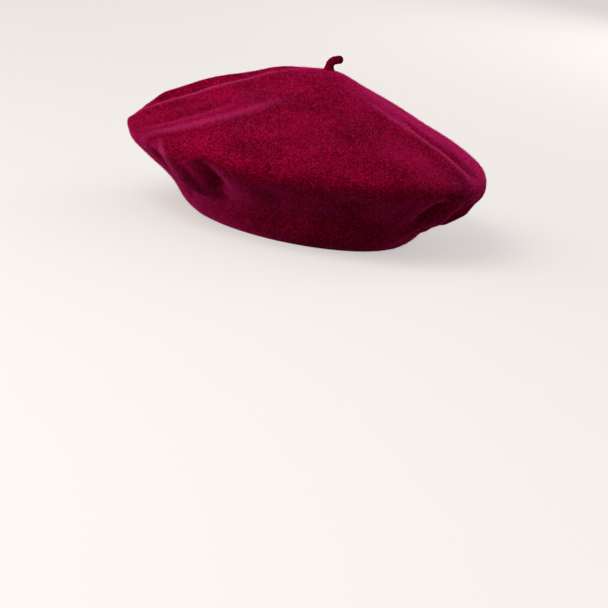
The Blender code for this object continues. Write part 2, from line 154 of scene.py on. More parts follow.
def bumpFrom(tree, height, strength, depth):
    return addNode(tree, "ShaderNodeBump", Strength=strength, Distance=depth,
                   Height=height).outputs["Normal"]


feltFinish = {
    "deep": (0.052, 0.0001, 0.0026),
    "body": (0.172, 0.0004, 0.0135),
    "bright": (0.415, 0.0021, 0.0470),
    "spread": ((0.395, "deep"), (0.50, "body"), (0.605, "bright")),
    # painted highlight: the pale pink laid on fold crests and how much of it; painted shade: how far
    # fold hollows are darkened
    "paintedHighlight": (0.70, 0.060, 0.280),
    "paintedHighlightMost": 0.46,
    "paintedShadeMost": 0.5,
    "roughness": 0.95,
    "sheen": 1.0,
    "sheenRoughness": 0.27,
    "sheenTint": (0.92, 0.022, 0.250, 1.0),
    "napScale": 530.0,
    "fibreScale": 1300.0,
    "cloudScale": 28.0,
    "levelLie": 1.9,
    "tangleScale": 160.0,
    "tangle": 0.004,
    "fibreRise": 0.45,
    "bump": 0.9,
    "bumpDepth": 0.0006,
}


def makeFelt(name, finish, tone=1.0):
    material, tree, shader = newMaterial(name)
    place = objectPlace(tree)
    # fibres lie mostly level and a little tangled
    level = addNode(tree, "ShaderNodeMapping", Vector=place, Scale=(1.0, 1.0, finish["levelLie"]))
    warp = addNode(tree, "ShaderNodeTexNoise", Vector=place, Scale=finish["tangleScale"], Detail=2.0)
    tangled = addNode(tree, "ShaderNodeMixRGB", blend_type="ADD", Fac=finish["tangle"],
                      Color1=level.outputs["Vector"], Color2=warp.outputs["Color"]).outputs["Color"]
    nap = noiseAt(tree, tangled, finish["napScale"], 4.0, 0.62)
    fibre = noiseAt(tree, tangled, finish["fibreScale"], 2.0, 0.6)
    cloud = noiseAt(tree, place, finish["cloudScale"], 3.0, 0.5)
    blend = weighted(tree, (nap, 0.62), (fibre, 0.18), (cloud, 0.20))
    stops = [(at, tuple(c * tone for c in finish[shade])) for at, shade in finish["spread"]]
    colour = rampFrom(tree, blend, stops)
    # painted highlight lays a pale pink on the fold crests, and painted shade darkens the hollows
    crease = addNode(tree, "ShaderNodeAttribute", attribute_name="paintedLightTone").outputs["Fac"]
    pale = mathNode(tree, "MULTIPLY", mathNode(tree, "MAXIMUM", crease, 0.0), finish["paintedHighlightMost"])
    pale = mathNode(tree, "MULTIPLY", pale, mathNode(tree, "ADD", nap, 0.5))
    dark = mathNode(tree, "MULTIPLY", mathNode(tree, "MINIMUM", crease, 0.0), finish["paintedShadeMost"])
    dark = mathNode(tree, "ADD", dark, 1.0)
    paintedHighlight = addNode(tree, "ShaderNodeMixRGB", Fac=pale, Color1=colour,
                     Color2=(*finish["paintedHighlight"], 1.0)).outputs["Color"]
    shaded = addNode(tree, "ShaderNodeVectorMath", operation="SCALE", Vector=paintedHighlight, Scale=dark)
    height = mathNode(tree, "ADD", nap, mathNode(tree, "MULTIPLY", fibre, finish["fibreRise"]))
    feed(tree, shader, {
        "Base Color": shaded.outputs["Vector"],
        "Roughness": finish["roughness"],
        "Specular IOR Level": 0.0,
        "Sheen Weight": finish["sheen"],
        "Sheen Roughness": finish["sheenRoughness"],
        "Sheen Tint": finish["sheenTint"],
        "Normal": bumpFrom(tree, height, finish["bump"], finish["bumpDepth"]),
    })
    return material


felt = makeFelt("woolFelt", feltFinish)
# the inner face has no painted highlight or painted shade
innerFelt = makeFelt("innerFelt", {**feltFinish, "paintedHighlightMost": 0.0, "paintedShadeMost": 0.0})
print("materials made")


# Felt cap: crown, rim, underside and turned-in hem in one

cap = {
    "rimRadius": 148.4 * mm,
    "crownHeight": 125.0 * mm,
    "rimHeight": 59.2 * mm,
    "hemHalfWidth": 81.4 * mm,
    "hemHalfLength": 99.0 * mm,
    "thickness": 2.0 * mm,
    "hemGap": 1.2 * mm,
    "turnIn": 18.0 * mm,
    "turnSteps": 8,
    "upSteps": 9,
    "hemBlend": 9.0 * mm,
    "hemRound": 1.6 * mm,
    "leanBearing": 155.0,
    "lean": 6.0 * mm,
    "columns": 316,
    "rows": 134,
    # columns stand closer together at the creases: bearing, half width in degrees, how much closer
    "crowded": ((352, 24, 1.5), (128, 17, 1.6)),
    # a crest's painted highlight line: its half width on a fold of this sharpness
    "crestLine": 2.9 * mm,
    "crestSharp": 1.5,
    # height of a fold where the painted highlight, or the painted shade of a hollow, is full
    "crestFull": 5.5 * mm,
    "hollowFull": 10.0 * mm,
    "hollowReach": 0.9,
    # a fold with a half width past this many mm gets no painted shade
    "broadest": 40.0,
    # share of a fold's width left at the top of the crown, and what it gains by the rim
    "topWidth": 0.45,
    "widening": 0.55,
    # nearer the middle than this, a fold spreads no further sideways
    "leastRadius": 25.0 * mm,
    # half profile: shares of the rim radius and of the height above the rim
    "crown": ((0.0, 1.0), (0.077, 0.977), (0.172, 0.912), (0.320, 0.784), (0.489, 0.626),
              (0.664, 0.453), (0.825, 0.301), (0.931, 0.173), (0.987, 0.082), (1.0, 0.0)),
    # below the rim: shares of the way from hem to rim and of the rim height
    "under": ((0.942, 0.872), (0.734, 0.701), (0.485, 0.507), (0.314, 0.338),
              (0.200, 0.177), (0.110, 0.082), (0.040, 0.034), (0.0, 0.0)),
    # slow changes of the rim: bearing, half width in degrees, outward and upward shift in mm
    "rimShifts": ((155, 25, -5.7, -1.6), (490, 22, -0.3, -4.1), (335, 25, -2.2, -3.3),
                  (360, 22, -7.1, -0.3), (310, 25, 0.4, 2.1)),
}

# Folds as paths down the felt: (share of the profile, bearing, height in mm), then the half widths
# in mm toward smaller and toward larger bearings. A last number below 2 gives a sharper crest.
capFolds = (
    # broad lean of the dome
    (((0.0, 335, 0), (0.15, 335, 3.0), (0.32, 335, 1.8), (0.48, 335, 0)), 45, 45),
    (((0.0, 155, 0), (0.18, 155, -3.0), (0.36, 155, -1.5), (0.5, 155, 0)), 45, 45),
    # paired ridges and the valley between them, running to the front-left tip
    (((0.08, 352, 0), (0.20, 351, 3.5), (0.41, 349, 7), (0.52, 347, 7.5), (0.58, 342, 6.5),
      (0.63, 336, 3.5), (0.68, 333, 0)), 5, 17, 1.5),
    (((0.10, 338, 0), (0.22, 338, -5), (0.45, 338, -9), (0.54, 338, -8), (0.60, 335, -4),
      (0.65, 334, 0)), 8, 6),
    (((0.05, 315, 0), (0.2, 319, 4), (0.41, 321, 8), (0.52, 325, 7), (0.58, 331, 4),
      (0.63, 334, 0)), 18, 8),
    (((0.25, 401, 0), (0.32, 396, 1.2), (0.45, 387, 2.4), (0.53, 382, 3), (0.60, 375, 3),
      (0.65, 364, 1.5), (0.69, 358, 0)), 10, 12, 2.0),
    (((0.3, 377, 0), (0.45, 368, -2), (0.55, 363, -2), (0.62, 355, -1.2), (0.66, 350, 0)), 9, 9),
    # puckers under the rim at the front left
    (((0.63, 372, 0), (0.68, 378, 4), (0.75, 381, 7.5), (0.82, 380, 6), (0.89, 382, 0)), 5, 6, 1.6),
    (((0.66, 367, 0), (0.72, 368, -6), (0.80, 369, -10), (0.86, 367, -5), (0.91, 366, 0)), 9, 8),
    (((0.64, 394, 0), (0.70, 394, -6), (0.77, 395, -8), (0.83, 393, -4), (0.88, 391, 0)), 9, 12),
    # the felt swells softly under the rim toward the wearer's left
    (((0.60, 425, 0), (0.68, 425, 2.0), (0.76, 425, 2.5), (0.86, 425, 0)), 60, 60),
    # soft dents under the left rim
    (((0.67, 416, 0), (0.76, 416, -3), (0.86, 416, 0)), 13, 13),
    (((0.66, 442, 0), (0.76, 442, -4.5), (0.88, 442, 0)), 15, 15),
    (((0.66, 461, 0), (0.74, 461, -2), (0.84, 461, 0)), 9, 9),
    (((0.66, 474, 0), (0.73, 473, -5), (0.79, 473, -5), (0.86, 473, 0)), 8, 8),
    # long crease that fades before the back right tip
    (((0.20, 468, 0), (0.28, 472, 2), (0.41, 481, 4.5), (0.50, 485, 5), (0.58, 487, 4),
      (0.655, 488, 0)), 13, 7, 1.6),
    (((0.25, 491, 0), (0.41, 495, -2.5), (0.50, 497, -3.5), (0.58, 497, -2.5), (0.64, 497, 0)), 7, 10),
    # the pinch under the tip: a near lip, the gap behind it, and the swell beyond
    (((0.68, 484, 0), (0.73, 482, 4), (0.80, 484, 6), (0.87, 488, 4), (0.93, 490, 0)), 13, 4, 1.5),
    (((0.67, 490, 0), (0.73, 487.5, -8), (0.80, 489, -9), (0.88, 493, -4), (0.93, 495, 0)), 5, 5),
    (((0.63, 508, 0), (0.70, 501, 2.5), (0.76, 497.5, 7), (0.82, 496, 7), (0.90, 496, 0)), 8, 14),
    (((0.74, 477, 0), (0.83, 479, 2.5), (0.90, 471, 3.5), (0.96, 467, 0)), 10, 10),
)


def splinePoints(points, count):
    pts = np.array(points, float)
    ext = np.vstack([2 * pts[0] - pts[1], pts, 2 * pts[-1] - pts[-2]])
    out = []
    for i in range(len(pts) - 1):
        a, b, c, d = ext[i:i + 4]
        for k in range(count):
            t = k / count
            out.append(0.5 * (2 * b + (c - a) * t + (2 * a - 5 * b + 4 * c - d) * t * t
                              + (3 * b - a - 3 * c + d) * t ** 3))
    out.append(pts[-1])
    return np.array(out)


hemMean = (cap["hemHalfWidth"] + cap["hemHalfLength"]) / 2
hemDepth = 2 * cap["thickness"] + cap["hemGap"]


def capProfile():
    # half profile from the top of the crown to the hem, with its share and length
    upper = [(r * cap["rimRadius"], cap["rimHeight"] + z * (cap["crownHeight"] - cap["rimHeight"]))
             for r, z in cap["crown"]]
    lower = [(hemMean + r * (cap["rimRadius"] - hemMean), z * cap["rimHeight"]) for r, z in cap["under"]]
    curve = splinePoints(upper + lower, 12)
    run = np.r_[0, np.cumsum(np.linalg.norm(np.diff(curve, axis=0), axis=1))]
    return curve, run / run[-1], run[-1]


profileCurve, profileShare, profileLength = capProfile()
profileTangent = np.gradient(profileCurve, profileShare, axis=0)
profileTangent /= np.linalg.norm(profileTangent, axis=1)[:, None]
rimShare = profileShare[np.argmax(profileCurve[:, 0])]


def hemRadius(angle, inset=0.0):
    a, b = cap["hemHalfWidth"], cap["hemHalfLength"]
    return a * b / np.sqrt((b * np.cos(angle)) ** 2 + (a * np.sin(angle)) ** 2) - inset


def turnFrom(bearing, centre):
    return (bearing - centre + 180) % 360 - 180


def alongFold(path, bearing, s, r):
    # a fold's height at each share of the profile, and how far to its side each point lies
    knots = np.array(path, float)
    q = np.interp(s, knots[:, 0], np.arange(len(knots)))
    i = np.clip(q.astype(int), 0, len(knots) - 2)
    t = q - i
    centre = knots[i, 1] + (knots[i + 1, 1] - knots[i, 1]) * t
    height = knots[i, 2] + (knots[i + 1, 2] - knots[i, 2]) * t * t * (3 - 2 * t)
    return height * mm, np.radians(turnFrom(bearing, centre)) * np.maximum(r, cap["leastRadius"])


def paintedLightTone(bearing, s):
    # above 0 for painted highlight along a crest, below 0 for painted shade in a hollow
    r = np.interp(s, profileShare, profileCurve[:, 0])
    tone = np.zeros_like(s)
    for path, low, high, *crest in capFolds:
        height, across = alongFold(path, bearing, s, r)
        if crest:
            line = cap["crestLine"] * (crest[0] / cap["crestSharp"]) ** 2
            tone += np.exp(-(across / line) ** 2) * np.clip(height / cap["crestFull"], 0, 1)
        if low > cap["broadest"]:
            continue
        hollow = np.where(across < 0, low, high) * mm * cap["hollowReach"]
        tone += np.exp(-(across / hollow) ** 2) * np.clip(height / cap["hollowFull"], -1, 0)
    return np.clip(tone, -1, 1)


def feltPoints(bearing, s):
    # place on the felt's outer face for arrays of bearing in degrees and share of the profile
    angle = np.radians(bearing)
    r = np.interp(s, profileShare, profileCurve[:, 0])
    z = np.interp(s, profileShare, profileCurve[:, 1])
    outR = -np.interp(s, profileShare, profileTangent[:, 1])
    outZ = np.interp(s, profileShare, profileTangent[:, 0])
    nearRim = np.where(s < rimShare, smooth(0.15, rimShare, s), 1 - smooth(rimShare, 1.0, s))
    for centre, width, out, up in cap["rimShifts"]:
        weight = np.exp(-(turnFrom(bearing, centre) / width) ** 2) * nearRim
        r = r + out * mm * weight
        z = z + up * mm * weight
    r = r + (hemRadius(angle) - hemMean) * smooth(rimShare, 1.0, s)
    for path, low, high, *crest in capFolds:
        height, across = alongFold(path, bearing, s, r)
        wide = cap["topWidth"] + cap["widening"] * np.clip(r / cap["rimRadius"], 0, 1)
        width = np.where(across < 0, low, high) * mm * wide
        reach = (across / width) ** 2 + 0.01
        lift = height * np.exp(-reach ** ((crest[0] if crest else 2.0) / 2))
        r = r + lift * outR
        z = z + lift * outZ
    lean = cap["lean"] * (1 - smooth(0.0, 0.55, s))
    leanAngle = math.radians(cap["leanBearing"])
    x = r * np.cos(angle) + lean * math.cos(leanAngle)
    y = r * np.sin(angle) + lean * math.sin(leanAngle)
    return np.stack([x, y, z], -1)


def feltNormals(bearing, s):
    turn, step = 0.4, 0.002
    around = feltPoints(bearing + turn, s) - feltPoints(bearing - turn, s)
    along = feltPoints(bearing, np.clip(s + step, 0, 1)) - feltPoints(bearing, np.clip(s - step, 0, 1))
    out = np.cross(along, around)
    length = np.linalg.norm(out, axis=-1)[..., None]
    # the very top of the crown has no direction of its own
    return np.where(length > 1e-12, out / np.maximum(length, 1e-12), (0.0, 0.0, 1.0))


def crowd(turn):
    # evenly spaced turns moved closer together round the creases
    even = np.linspace(-180.0, 180.0, 1441)
    density = np.ones_like(even)
    for centre, width, more in cap["crowded"]:
        density += more * np.exp(-(turnFrom(even, centre) / width) ** 2)
    total = np.cumsum(density)
    share = (total - total[0]) / (total[-1] - total[0])
    return np.interp((np.asarray(turn) + 180.0) / 360.0, share, even)


def makeCap():
    # a half profile spun round, each vertex then moved to its place on the draped felt
    bm = bmesh.new()
    shareLayer = bm.verts.layers.float.new("share")
    insetLayer = bm.verts.layers.float.new("inset")
    stops = [(s, 0.0) for s in np.linspace(0, 1, cap["rows"])]
    # the hem turns round a half circle and runs up inside
    half = hemDepth / 2
    for k in range(1, cap["turnSteps"]):
        stops.append((1.0, half - half * math.cos(math.pi * k / cap["turnSteps"])))
    for k in range(cap["upSteps"] + 1):
        stops.append((1.0 - cap["turnIn"] / profileLength * k / cap["upSteps"], hemDepth))
    chain = []
    for k, (s, inset) in enumerate(stops):
        r = 0.0 if k == 0 else 0.1 + 0.001 * k
        vert = bm.verts.new((r, 0, 0.001 * k))
        vert[shareLayer] = s
        vert[insetLayer] = inset
        chain.append(vert)
    edges = [bm.edges.new(pair) for pair in zip(chain, chain[1:])]
    bmesh.ops.spin(bm, geom=chain + edges, cent=(0, 0, 0), axis=(0, 0, 1), angle=2 * math.pi,
                   steps=cap["columns"], use_merge=True, use_duplicate=False)
    bmesh.ops.remove_doubles(bm, verts=bm.verts, dist=1e-6)
    verts = list(bm.verts)
    s = np.array([v[shareLayer] for v in verts])
    inset = np.array([v[insetLayer] for v in verts])
    bearing = crowd(np.degrees([math.atan2(v.co.y, v.co.x) for v in verts]))
    place = feltPoints(bearing, s)
    out = feltNormals(bearing, s)
    level = np.stack([np.cos(np.radians(bearing)), np.sin(np.radians(bearing)), 0 * bearing], -1)
    mix = smooth(1 - cap["hemBlend"] / profileLength, 1.0, s)[:, None]
    out = out * (1 - mix) + level * mix
    out /= np.linalg.norm(out, axis=1)[:, None]
    place = place - inset[:, None] * out
    # round the bottom of the fold
    t = np.clip(inset / hemDepth, 0, 1)
    rise = cap["hemRound"] * (1 - np.sqrt(np.clip(1 - (2 * t - 1) ** 2, 0, 1)))
    place[:, 2] += np.where(s > 0.9999, rise, 0)
    for vert, co in zip(verts, place):
        vert.co = co
    bmesh.ops.recalc_face_normals(bm, faces=bm.faces)
    top = max(bm.faces, key=lambda f: f.calc_center_median().z)
    if top.normal.z < 0:
        bmesh.ops.reverse_faces(bm, faces=bm.faces)
    obj = addObject("felt_cap", bm, felt)
    # painted highlight on crests and painted shade in hollows, kept per vertex for the felt's finish
    tone = obj.data.attributes.new("paintedLightTone", "FLOAT", "POINT")
    tone.data.foreach_set("value", paintedLightTone(bearing, s).astype(np.float32))
    obj.data.materials.append(innerFelt)
    addModifier(obj, "wall", "SOLIDIFY", thickness=cap["thickness"], offset=-1.0, use_even_offset=False,
                material_offset=1)
    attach(obj, "cap")
    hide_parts("felt_body")
    # the felt without its folds: the crown and underside, then the hem's turning
    run = profileShare * profileLength
    blank = np.sum(np.pi * (profileCurve[1:, 0] + profileCurve[:-1, 0]) * np.diff(run))
    blank += 2 * math.pi * hemMean * cap["turnIn"]


makeCap()
print("felt cap made")


# Shared by everything sewn into the opening
inside = {
    "touchGap": 0.3 * mm,
    "bandThickness": 1.0 * mm,
    "bandHeight": 25.0 * mm,
    "bandLift": 1.0 * mm,
    "bandJoin": 0.8 * mm,
    "backBearing": 90.0,
    "threadRadius": 0.3 * mm,
}
bandInset = hemDepth + inside["touchGap"]
bandInner = bandInset + inside["bandThickness"]
bandTop = inside["bandLift"] + inside["bandHeight"]


def hemPoint(bearing, inset, height):
    # a place inside the hem oval, some way in from its edge
    angle = math.radians(bearing)
    edge = float(hemRadius(angle, inset))
    return Vector((edge * math.cos(angle), edge * math.sin(angle), height))


def spotAt(x, y, z, place):
    # a place with three directions of its own
    spot = Matrix((x, y, z)).transposed().to_4x4()
    spot.translation = place
    return spot


def bandSpot(bearing, height):
    # frame on the band's inner face: x along it, y inward, z up
    step = hemPoint(bearing + 0.5, bandInner, height) - hemPoint(bearing - 0.5, bandInner, height)
    along = step.normalized()
    up = Vector((0, 0, 1))
    return spotAt(along, up.cross(along), up, hemPoint(bearing, bandInner, height))


def repeatShape(bm, places):
    # a mesh with a copy of one small shape at every place
    one = bpy.data.meshes.new("oneShape")
    bm.to_mesh(one)
    bm.free()
    holder = addLinked("holder", one)
    addModifier(holder, "copies", "ARRAY", count=len(places), use_relative_offset=False)
    ready = holder.evaluated_get(bpy.context.evaluated_depsgraph_get())
    many = bpy.data.meshes.new_from_object(ready)
    bpy.data.objects.remove(holder)
    co = np.empty(len(many.vertices) * 3, np.float32)
    many.vertices.foreach_get("co", co)
    co = co.reshape(len(places), -1, 3)
    places = np.array(places, float)
    co = np.einsum("nij,nkj->nki", places[:, :3, :3], co) + places[:, None, :3, 3]
    many.vertices.foreach_set("co", co.astype(np.float32).ravel())
    many.update()
    return many


def stitchAt(start, end, out, radius):
    # place of one plump stitch: a small ball drawn out between two points
    x = (end - start).normalized()
    y = Vector(out).cross(x).normalized()
    size = Matrix.Diagonal(((end - start).length / 2 + radius, radius, radius, 1))
    return spotAt(x, y, x.cross(y), (start + end) / 2) @ size


def finishPiece(name, shape, material, node, body="cap"):
    piece = addObject(name, shape, material)
    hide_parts(node)
    if body:
        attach(piece, body)
    return piece


def sewStitches(name, places, thread, node):
    bm = bmesh.new()
    bmesh.ops.create_uvsphere(bm, u_segments=8, v_segments=6, radius=1.0)
    finishPiece(name, repeatShape(bm, places), thread, node)


def settle(bm, place):
    # faces turned outwards, then the whole shape set in its place
    bmesh.ops.recalc_face_normals(bm, faces=bm.faces)
    bmesh.ops.transform(bm, matrix=place, verts=bm.verts)


def extrudeLoop(bm, edges, moves):
    # draws a loop of edges out along a list of small moves
    for move in moves:
        made = bmesh.ops.extrude_edge_only(bm, edges=edges)["geom"]
        bmesh.ops.translate(bm, vec=move, verts=[g for g in made if isinstance(g, bmesh.types.BMVert)])
        edges = [g for g in made if isinstance(g, bmesh.types.BMEdge)]


def drawLine(bm, points, closed=False):
    verts = [bm.verts.new(p) for p in points]
    pairs = list(zip(verts, verts[1:])) + ([(verts[-1], verts[0])] if closed else [])
    return [bm.edges.new(pair) for pair in pairs]


# Materials of the parts sewn inside

def makeThread(name, colour, twist=2600.0):
    # spun thread: fine slanted plies, with painted shade making it darker between them
    material, tree, shader = newMaterial(name)
    place = objectPlace(tree)
    turned = addNode(tree, "ShaderNodeMapping", Vector=place, Rotation=(0.6, 0.4, 0.8))
    ply = addNode(tree, "ShaderNodeTexWave", Vector=turned.outputs["Vector"], Scale=twist,
                  Distortion=1.5, Detail=1.0)
    fuzz = noiseAt(tree, place, 2200.0, 2.0)
    blend = weighted(tree, (ply.outputs["Fac"], 0.6), (fuzz, 0.4))
    feed(tree, shader, {
        "Base Color": rampFrom(tree, blend, shades(colour, ((0.25, 0.45), (0.5, 1.0), (0.8, 1.35)))),
        "Roughness": 0.7,
        "Specular IOR Level": 0.2,
        "Sheen Weight": 0.3,
        "Normal": bumpFrom(tree, blend, 0.6, 0.00012),
    })
    return material


def makeLeather(name, colour):
    # pebbled grain with finer pores, worn a little smoother in patches
    material, tree, shader = newMaterial(name)
    place = objectPlace(tree)
    grain = addNode(tree, "ShaderNodeTexVoronoi", feature="DISTANCE_TO_EDGE", Vector=place, Scale=900.0)
    pores = noiseAt(tree, place, 2400.0, 3.0)
    patch = noiseAt(tree, place, 45.0, 4.0)
    tone = weighted(tree, (patch, 0.7), (pores, 0.3))
    rough = addNode(tree, "ShaderNodeMapRange", Value=patch)
    feed(tree, rough, {"To Min": 0.62, "To Max": 0.42})
    pebble = mathNode(tree, "MINIMUM", mathNode(tree, "MULTIPLY", grain.outputs["Distance"], 6.0), 1.0)
    height = mathNode(tree, "ADD", pebble, mathNode(tree, "MULTIPLY", pores, 0.5))
    feed(tree, shader, {
        "Base Color": rampFrom(tree, tone, shades(colour, ((0.3, 0.55), (0.52, 1.0), (0.75, 1.9)))),
        "Roughness": rough.outputs["Result"],
        "Normal": bumpFrom(tree, height, 0.5, 0.0002),
    })
    return material


def makeWoven(name, colour, ribs, rough, sheen):
    # ribbon: upright ribs with a fine thread line across them
    material, tree, shader = newMaterial(name)
    pattern = addNode(tree, "ShaderNodeUVMap", uv_map="weave").outputs["UV"]
    rib, cross = (addNode(tree, "ShaderNodeTexWave", bands_direction=way, Vector=pattern, Scale=scale,
                          Distortion=0.3, Detail=1.0).outputs["Fac"]
                  for way, scale in (("X", ribs), ("Y", ribs * 1.7)))
    fuzz = noiseAt(tree, objectPlace(tree), 1500.0, 3.0)
    weave = weighted(tree, (rib, 0.5), (cross, 0.3), (fuzz, 0.2))
    feed(tree, shader, {
        "Base Color": rampFrom(tree, weave, shades(colour, ((0.2, 0.6), (0.55, 1.0), (0.85, 1.25)))),
        "Roughness": rough,
        "Sheen Weight": sheen,
        "Normal": bumpFrom(tree, weave, 0.6, 0.00015),
    })
    return material


def weaveMap(obj, along, up):
    # lays a UV map in metres along two functions of a vertex place
    mesh = obj.data
    layer = mesh.uv_layers.new(name="weave")
    for loop in mesh.loops:
        co = mesh.vertices[loop.vertex_index].co
        layer.data[loop.index].uv = (along(co), up(co))


woolThread = makeThread("woolThread", (0.15, 0.0008, 0.016))
bandThread = makeThread("bandThread", (0.055, 0.004, 0.010))
paleThread = makeThread("paleThread", (0.66, 0.63, 0.57))
bandLeather = makeLeather("bandLeather", (0.020, 0.0085, 0.0065))
bowRibbonCloth = makeWoven("bowRibbonCloth", (0.020, 0.0065, 0.0065), 900.0, 0.42, 0.5)
labelCloth = makeWoven("labelCloth", (0.78, 0.76, 0.71), 700.0, 0.5, 0.3)
print("inner materials made")


# Zigzag stitches over the raw edge of the turned-in hem
hemStitches = {
    "count": 132,
    "below": 1.6 * mm,
    "above": 2.2 * mm,
    "radius": 0.32 * mm,
}


def makeHemStitches():
    places = []
    count = hemStitches["count"]
    lowShare = 1 - (cap["turnIn"] - hemStitches["below"]) / profileLength
    topShare = 1 - cap["turnIn"] / profileLength
    highShare = 1 - (cap["turnIn"] + hemStitches["above"]) / profileLength
    thread = hemStitches["radius"]

    def placed(turn, share, depth):
        bearing = np.array([360.0 * turn / count])
        s = np.array([share])
        return Vector((feltPoints(bearing, s) - depth * feltNormals(bearing, s))[0])

    for k in range(count):
        low = placed(k, lowShare, hemDepth + thread)
        edge = placed(k + 0.3, topShare, hemDepth + thread * 1.3)
        high = placed(k + 0.6, highShare, cap["thickness"] + thread)
        back = placed(k + 0.8, topShare, hemDepth + thread * 1.3)
        following = placed(k + 1, lowShare, hemDepth + thread)
        for a, b in ((low, edge), (edge, high), (high, back), (back, following)):
            places.append(stitchAt(a, b, (-a.x, -a.y, 0), thread))
    sewStitches("hem_zigzag", places, woolThread, "hem_stitching")


# Leather band, upright round the opening, its ends butted at the back
band = {
    "columns": 300,
    "rows": 16,
    "edgeRound": 0.32 * mm,
    "lineDepth": 0.16 * mm,
    "lineWidth": 1.1 * mm,
    "stitchRise": 3.0 * mm,
    "topLine": 1.6 * mm,
    "waver": 0.10 * mm,
}
stitchLine = inside["bandLift"] + band["stitchRise"]


def makeBand():
    bm = bmesh.new()
    chain = [(1.0, 0.0, k / (band["rows"] - 1)) for k in range(band["rows"])]
    edges = drawLine(bm, chain)
    turn = math.degrees(inside["bandJoin"] / (cap["hemHalfLength"] - bandInset))
    bmesh.ops.spin(bm, geom=list(bm.verts) + edges, cent=(0, 0, 0), axis=(0, 0, 1),
                   angle=math.radians(360.0 - turn), steps=band["columns"], use_duplicate=False)
    for vert in bm.verts:
        bearing = math.degrees(math.atan2(vert.co.y, vert.co.x)) % 360.0
        bearing += inside["backBearing"] + turn / 2
        height = inside["bandLift"] + vert.co.z * inside["bandHeight"]
        line = math.exp(-((height - stitchLine) / band["lineWidth"]) ** 2)
        rib = math.exp(-((height - bandTop + band["topLine"]) / band["lineWidth"]) ** 2)
        sway = math.sin(math.radians(bearing) * 9) + math.sin(math.radians(bearing) * 23 + height * 90)
        inset = bandInner - band["lineDepth"] * (line + 0.6 * rib)
        inset -= band["waver"] * (1 + sway) * vert.co.z * 0.5
        vert.co = hemPoint(bearing, inset, height)
    bmesh.ops.recalc_face_normals(bm, faces=bm.faces)
    first = next(iter(bm.faces))
    if first.normal.dot(first.calc_center_median()) > 0:
        bmesh.ops.reverse_faces(bm, faces=bm.faces)
    piece = finishPiece("leather_band", bm, bandLeather, "sweatband")
    addModifier(piece, "wall", "SOLIDIFY", thickness=inside["bandThickness"] - band["lineDepth"],
                offset=-1.0)
    addModifier(piece, "edge", "BEVEL", width=band["edgeRound"], segments=3, limit_method="ANGLE",
                angle_limit=math.radians(60))


# Running stitch at the foot of the band, and the cross stitches closing its ends
bandStitches = {
    "count": 104,
    "share": 0.62,
    "sink": 0.55,
    "crosses": 4,
    "crossHalf": 1.7 * mm,
    "crossFoot": 12.6 * mm,
    "crossMargin": 1.5 * mm,
}


def makeBandStitches():
    places = []
    thread = inside["threadRadius"]
    step = 360.0 / bandStitches["count"]
    inset = bandInner - band["lineDepth"] + thread * bandStitches["sink"]
    for k in range(bandStitches["count"]):
        start = inside["backBearing"] + step * (k + 0.5 - bandStitches["share"] / 2)
        end = start + step * bandStitches["share"]
        a = hemPoint(start, inset, stitchLine)
        b = hemPoint(end, inset, stitchLine)
        places.append(stitchAt(a, b, (-a.x, -a.y, 0), thread))
    sewStitches("band_running_stitch", places, bandThread, "band_stitching")


def makeJoinStitches():
    places = []
    spot = bandSpot(inside["backBearing"], 0)
    thread = inside["threadRadius"]
    low, high = bandStitches["crossFoot"], bandTop - bandStitches["crossMargin"]
    step = (high - low) / bandStitches["crosses"]
    half = bandStitches["crossHalf"]
    for k in range(bandStitches["crosses"]):
        foot = low + step * k
        for side, lift in ((1, 0.4), (-1, 1.6)):
            a = spot @ Vector((-half * side, thread * lift, foot + 0.12 * step))
            b = spot @ Vector((half * side, thread * lift, foot + 0.88 * step))
            places.append(stitchAt(a, b, spot.col[1].xyz, thread))
    sewStitches("join_cross_stitch", places, bandThread, "join_stitching")


# Flat bow of ribbed ribbon, and the knot round its middle
bow = {
    "halfLength": 13.0 * mm,
    "width": 6.0 * mm,
    "loopDepth": 1.9 * mm,
    "pinch": 0.3 * mm,
    "waist": 0.86,
    "tipDrop": 0.35 * mm,
    "ribbon": 0.45 * mm,
    "height": 8.0 * mm,
    "back": 2.0 * mm,
    "turns": 120,
    "rows": 6,
    "knotWidth": 4.5 * mm,
    "knotWall": 0.5 * mm,
    "knotWaist": 0.12,
    "knotTurns": 48,
    "knotRows": 10,
    "pleat": 0.10 * mm,
}
bowCentre = bow["back"] + bow["loopDepth"]


def bowLine(turn):
    # ribbon seen from above: two loops, pinched together in the middle
    along, side = math.cos(turn), math.sin(turn)
    swell = float(smooth(0.18, 0.75, abs(along))) * math.sqrt(max(0.0, 1 - along ** 4))
    depth = (bow["pinch"] + swell * bow["loopDepth"]) * math.copysign(min(1.0, abs(side) * 3), side)
    return along * bow["halfLength"], bowCentre + depth


def makeBow():
    bm = bmesh.new()
    points = []
    for k in range(bow["turns"]):
        along, depth = bowLine(2 * math.pi * k / bow["turns"])
        points.append((along, depth, -bow["width"] / 2))
    edges = drawLine(bm, points, closed=True)
    extrudeLoop(bm, edges, [(0, 0, bow["width"] / bow["rows"])] * bow["rows"])
    for vert in bm.verts:
        # the ribbon narrows where the knot holds it, and its loops lean a little
        along = abs(vert.co.x) / bow["halfLength"]
        vert.co.z *= bow["waist"] + (1 - bow["waist"]) * float(smooth(0.1, 0.5, along))
        vert.co.z -= bow["tipDrop"] * float(smooth(0.3, 1.0, along))
    settle(bm, bandSpot(inside["backBearing"], bow["height"]))
    piece = finishPiece("bow_loops", bm, bowRibbonCloth, "bow_ribbon")
    weaveMap(piece, lambda co: co.x, lambda co: co.z)
    addModifier(piece, "wall", "SOLIDIFY", thickness=bow["ribbon"], offset=1.0)


